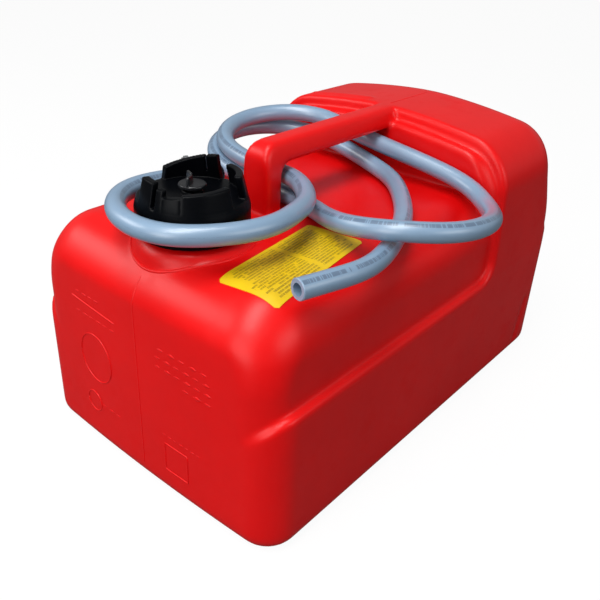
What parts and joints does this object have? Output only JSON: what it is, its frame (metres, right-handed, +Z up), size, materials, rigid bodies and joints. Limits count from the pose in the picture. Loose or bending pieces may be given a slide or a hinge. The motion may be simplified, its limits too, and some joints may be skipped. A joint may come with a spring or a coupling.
{
  "type": "outboard fuel tank",
  "caption": "Portable blow-moulded boat fuel tank with a moulded carrying handle, vented screw cap, pickup fitting and a looped fuel hose.",
  "frame": {"origin": "centre of the tank's flat bottom", "axes": "+X runs along the tank from the filler end to the raised end, +Z up"},
  "size_m": [0.3865, 0.2721, 0.2263],
  "materials": {
    "red_polyethylene": "moulded, semi-gloss",
    "black_nylon": "moulded, satin",
    "vent_nylon": "moulded, satin",
    "white_plastic": "moulded, satin",
    "seal_rubber": "matt",
    "hose_rubber": "smooth, semi-gloss",
    "stainless": "brushed",
    "label_film": "printed film"
  },
  "bodies": {
    "tank": {"tank_body": "red_polyethylene", "outlet_elbow": "black_nylon", "outlet_gasket": "seal_rubber", "outlet_locknut": "black_nylon", "pickup_tube": "white_plastic", "pickup_strainer": "white_plastic", "hose_clamp": "stainless", "hose_clamp_screw": "stainless", "fuel_hose": "hose_rubber", "hose_end": "hose_rubber", "deck_label": "label_film"},
    "cap_seal": {"cap_gasket": "seal_rubber"},
    "cap": {"cap_shell": "black_nylon", "cap_thread_ring": "black_nylon", "cap_baffle": "white_plastic"},
    "vent_seal": {"vent_o_ring": "seal_rubber"},
    "vent": {"vent_screw": "vent_nylon", "vent_clip": "stainless"}
  },
  "joints": [
    {"name": "cap_lift", "type": "slide", "parent": "tank", "child": "cap_seal", "axis": [0, 0, 1], "range_m": [0, 0.075]},
    {"name": "cap_turn", "type": "hinge", "parent": "cap_seal", "child": "cap", "pos_m": [-0.137, 0, 0.19], "axis": [0, 0, 1], "range_deg": [0, 540]},
    {"name": "vent_rise", "type": "slide", "parent": "cap", "child": "vent_seal", "axis": [0, 0, 1], "range_m": [0, 0.003]},
    {"name": "vent_turn", "type": "hinge", "parent": "vent_seal", "child": "vent", "pos_m": [-0.137, 0, 0.21], "axis": [0, 0, 1], "range_deg": [0, 720]}
  ],
  "couplings": [
    {"joint": "vent_turn", "follows": "vent_rise", "rad_per_m": 4188.8}
  ]
}
